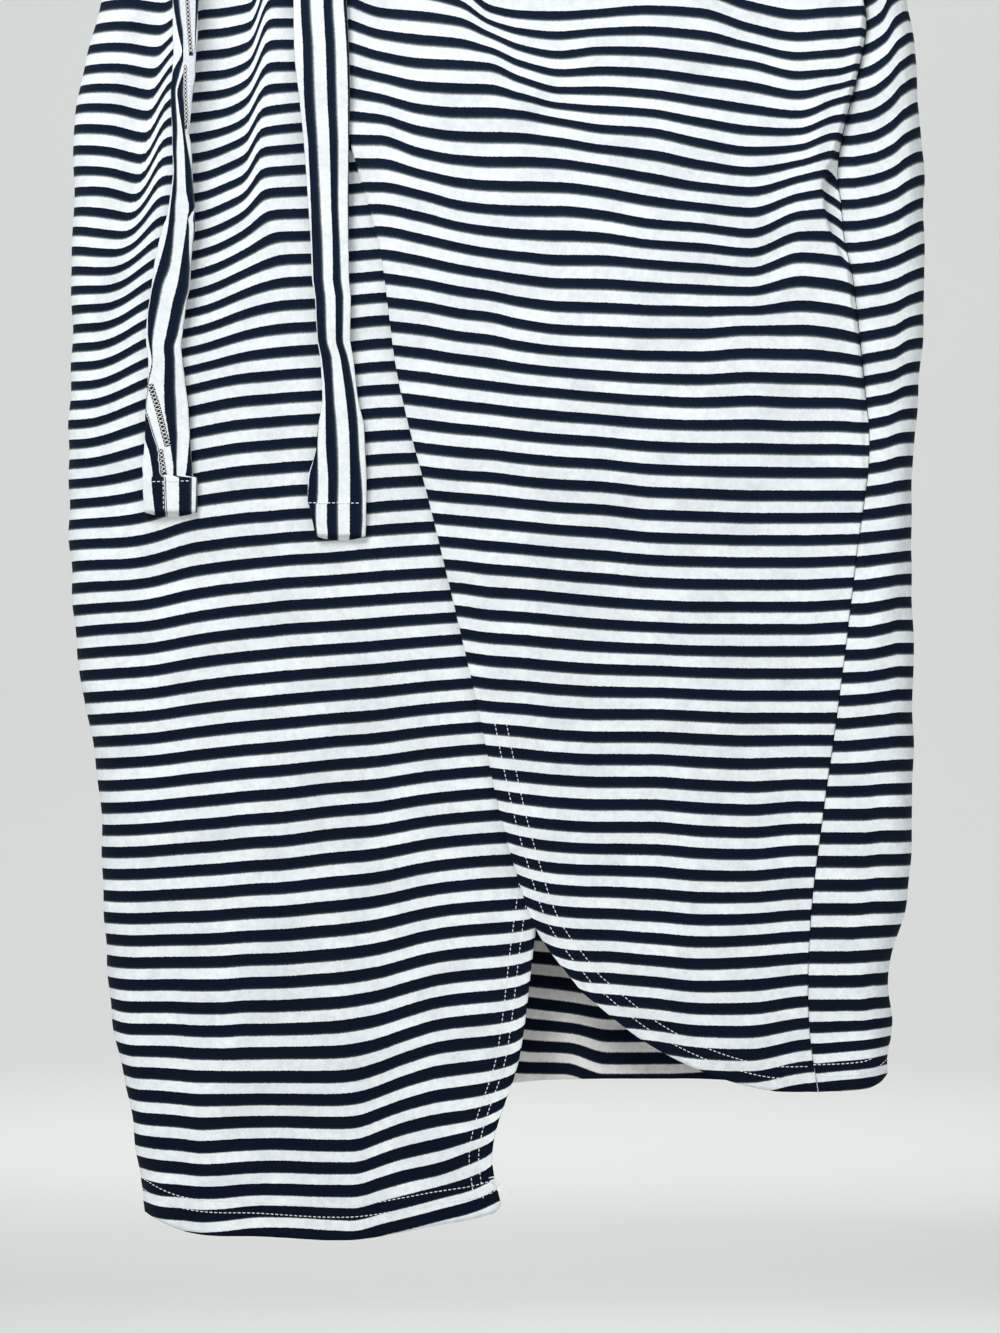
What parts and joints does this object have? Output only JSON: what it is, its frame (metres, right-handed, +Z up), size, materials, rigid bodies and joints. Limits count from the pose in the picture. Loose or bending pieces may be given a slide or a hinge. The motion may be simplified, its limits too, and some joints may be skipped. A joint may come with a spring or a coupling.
{
  "type": "halter midi dress on a hanger",
  "caption": "Striped jersey wrap dress with a halter neck, waist ties and a tulip hem, longer on one side, hanging flat from a plain hanger.",
  "frame": {"origin": "inside of the hook's top, where it rests on a rail", "axes": "+Z up, the dress's front faces -Y, +X to the viewer's right"},
  "size_m": [0.4727, 0.0569, 1.3156],
  "materials": {
    "jersey": "matte cotton jersey, navy and white stripes across",
    "tie_jersey": "matte cotton jersey, navy and white stripes lengthwise",
    "hanger_plastic": "satin off-white plastic",
    "hanger_wire": "bright plated wire"
  },
  "bodies": {
    "root": {"skirt_front_over": "jersey", "skirt_front_under": "jersey", "skirt_back": "jersey", "bodice_front_over": "jersey", "bodice_front_under": "jersey", "bodice_back": "jersey", "neck_strap": "jersey", "tie_left": "tie_jersey", "tie_right": "tie_jersey", "hanger_arms": "hanger_plastic", "hanger_hook": "hanger_wire"}
  },
  "joints": []
}
